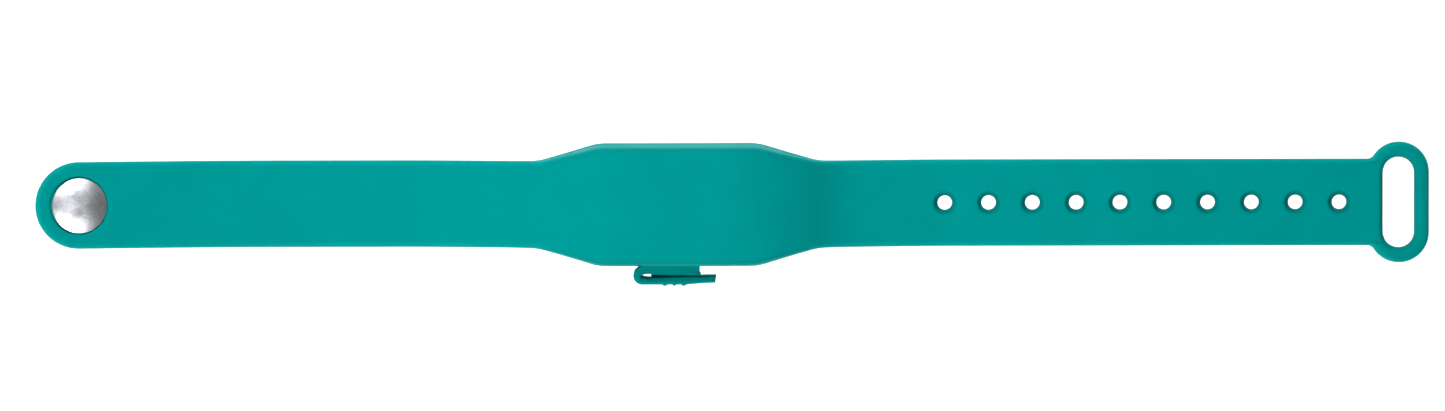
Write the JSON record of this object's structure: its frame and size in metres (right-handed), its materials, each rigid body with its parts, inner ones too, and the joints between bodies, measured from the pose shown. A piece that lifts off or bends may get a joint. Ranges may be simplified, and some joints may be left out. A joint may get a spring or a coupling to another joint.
{
  "type": "fitness tracker band",
  "caption": "Screenless fitness tracker wristband: soft strap with a removable sensor core in its pod, tethered charging port stopper, snap stud, adjustment holes and end loop.",
  "frame": {"origin": "middle of the pod's back, where the sensor window lies on the table or the skin", "axes": "+X along the band towards the loop, +Y across it away from the charging port, +Z out of the pod's roof"},
  "size_m": [0.25, 0.0257, 0.013],
  "materials": {
    "band_silicone": "smooth matt silicone",
    "stud_steel": "satin, spun",
    "shell_plastic": "fine matt moulding",
    "seal_rubber": "matt",
    "screw_steel": "satin",
    "board_laminate": "solder mask",
    "chip_resin": "moulded resin",
    "crystal_can": "satin",
    "passive_ceramic": "fired ceramic",
    "antenna_ceramic": "fired ceramic",
    "cell_foil": "crinkled foil",
    "foam_pad": "foam",
    "battery_wire": "smooth",
    "motor_can": "satin",
    "motor_wire": "smooth",
    "socket_steel": "bright",
    "tongue_plastic": "moulded",
    "mouth_rubber": "matt",
    "lamp_lens": "clear resin over green lamps",
    "sensor_silicon": "clear resin over silicon",
    "baffle_foam": "foam",
    "window_plastic": "polished, smoked"
  },
  "bodies": {
    "pod": {"pod_jacket": "band_silicone", "flap_tether": "band_silicone"},
    "left_1": {"strap_left_1": "band_silicone"},
    "left_2": {"strap_left_2": "band_silicone"},
    "left_3": {"strap_left_3": "band_silicone"},
    "left_4": {"strap_left_4": "band_silicone"},
    "left_5": {"strap_left_5": "band_silicone"},
    "left_tip": {"strap_left_tip": "band_silicone", "stud_cap": "stud_steel", "stud_post": "stud_steel"},
    "right_1": {"strap_right_1": "band_silicone"},
    "right_2": {"strap_right_2": "band_silicone"},
    "right_3": {"strap_right_3": "band_silicone"},
    "right_4": {"strap_right_4": "band_silicone"},
    "right_5": {"strap_right_5": "band_silicone"},
    "right_6": {"strap_right_6": "band_silicone"},
    "loop": {"strap_loop": "band_silicone"},
    "port_flap": {"port_flap": "band_silicone"},
    "tracker_core": {"core_upper_shell": "shell_plastic", "core_lower_shell": "shell_plastic", "shell_seal": "seal_rubber", "shell_screws": "screw_steel", "main_board": "board_laminate", "processor_chip": "chip_resin", "radio_chip": "chip_resin", "motion_sensor_chip": "chip_resin", "memory_chip": "chip_resin", "charger_chip": "chip_resin", "clock_crystal": "crystal_can", "board_passives": "passive_ceramic", "chip_antenna": "antenna_ceramic", "battery_cell": "cell_foil", "battery_pad": "foam_pad", "battery_wires": "battery_wire", "vibration_motor": "motor_can", "motor_wires": "motor_wire", "charging_socket": "socket_steel", "socket_tongue": "tongue_plastic", "socket_seal": "mouth_rubber", "sensor_leds": "lamp_lens", "photodiode": "sensor_silicon", "light_baffle": "baffle_foam", "sensor_window": "window_plastic"}
  },
  "joints": [
    {"name": "left_bend_1", "type": "hinge", "parent": "pod", "child": "left_1", "pos_m": [-0.031, 0, 0.00348], "axis": [0, -1, 0], "range_deg": [-15, 39.34], "stiffness_Nm_per_rad": 0.002},
    {"name": "left_bend_2", "type": "hinge", "parent": "left_1", "child": "left_2", "pos_m": [-0.0442, 0, 0.00147], "axis": [0, -1, 0], "range_deg": [-14.15, 37.02], "stiffness_Nm_per_rad": 0.002},
    {"name": "left_bend_3", "type": "hinge", "parent": "left_2", "child": "left_3", "pos_m": [-0.0574, 0, 0.0011], "axis": [0, -1, 0], "range_deg": [-12.77, 33.41], "stiffness_Nm_per_rad": 0.002},
    {"name": "left_bend_4", "type": "hinge", "parent": "left_3", "child": "left_4", "pos_m": [-0.0706, 0, 0.0011], "axis": [0, -1, 0], "range_deg": [-11.01, 28.78], "stiffness_Nm_per_rad": 0.002},
    {"name": "left_bend_5", "type": "hinge", "parent": "left_4", "child": "left_5", "pos_m": [-0.0838, 0, 0.00178], "axis": [0, -1, 0], "range_deg": [-9.03, 23.6], "stiffness_Nm_per_rad": 0.002},
    {"name": "left_bend_6", "type": "hinge", "parent": "left_5", "child": "left_tip", "pos_m": [-0.097, 0, 0.00351], "axis": [0, -1, 0], "range_deg": [-6.78, 17.71], "stiffness_Nm_per_rad": 0.002},
    {"name": "right_bend_1", "type": "hinge", "parent": "pod", "child": "right_1", "pos_m": [0.031, 0, 0.00348], "axis": [0, 1, 0], "range_deg": [-15, 41.73], "stiffness_Nm_per_rad": 0.002},
    {"name": "right_bend_2", "type": "hinge", "parent": "right_1", "child": "right_2", "pos_m": [0.04393, 0, 0.0015], "axis": [0, 1, 0], "range_deg": [-14.2, 39.42], "stiffness_Nm_per_rad": 0.002},
    {"name": "right_bend_3", "type": "hinge", "parent": "right_2", "child": "right_3", "pos_m": [0.05965, 0, 0.0011], "axis": [0, 1, 0], "range_deg": [-12.84, 35.63], "stiffness_Nm_per_rad": 0.002},
    {"name": "right_bend_4", "type": "hinge", "parent": "right_3", "child": "right_4", "pos_m": [0.07538, 0, 0.0011], "axis": [0, 1, 0], "range_deg": [-10.88, 30.16], "stiffness_Nm_per_rad": 0.002},
    {"name": "right_bend_5", "type": "hinge", "parent": "right_4", "child": "right_5", "pos_m": [0.09111, 0, 0.0011], "axis": [0, 1, 0], "range_deg": [-8.64, 23.95], "stiffness_Nm_per_rad": 0.002},
    {"name": "right_bend_6", "type": "hinge", "parent": "right_5", "child": "right_6", "pos_m": [0.10683, 0, 0.0011], "axis": [0, 1, 0], "range_deg": [-6.44, 17.82], "stiffness_Nm_per_rad": 0.002},
    {"name": "loop_bend", "type": "hinge", "parent": "right_6", "child": "loop", "pos_m": [0.12545, 0, 0.0011], "axis": [0, 1, 0], "range_deg": [-46.54, 16.76], "stiffness_Nm_per_rad": 0.002},
    {"name": "flap_hinge", "type": "hinge", "parent": "pod", "child": "port_flap", "pos_m": [-0.00645, -0.01272, 0.00455], "axis": [0, 0, -1], "range_deg": [0, 110], "stiffness_Nm_per_rad": 0.0005, "deforming": ["flap_tether"]},
    {"name": "core_release", "type": "slide", "parent": "pod", "child": "tracker_core", "axis": [0, 0, -1], "range_m": [0, 0.012]}
  ],
  "couplings": [
    {"joint": "left_bend_2", "follows": "left_bend_1", "ratio": 0.93978},
    {"joint": "left_bend_3", "follows": "left_bend_1", "ratio": 0.84814},
    {"joint": "left_bend_4", "follows": "left_bend_1", "ratio": 0.73036},
    {"joint": "left_bend_5", "follows": "left_bend_1", "ratio": 0.59873},
    {"joint": "left_bend_6", "follows": "left_bend_1", "ratio": 0.44896},
    {"joint": "right_bend_2", "follows": "right_bend_1", "ratio": 0.94351},
    {"joint": "right_bend_3", "follows": "right_bend_1", "ratio": 0.85282},
    {"joint": "right_bend_4", "follows": "right_bend_1", "ratio": 0.72175},
    {"joint": "right_bend_5", "follows": "right_bend_1", "ratio": 0.57282},
    {"joint": "right_bend_6", "follows": "right_bend_1", "ratio": 0.42593},
    {"joint": "loop_bend", "follows": "right_bend_1", "ratio": -1.1141}
  ]
}
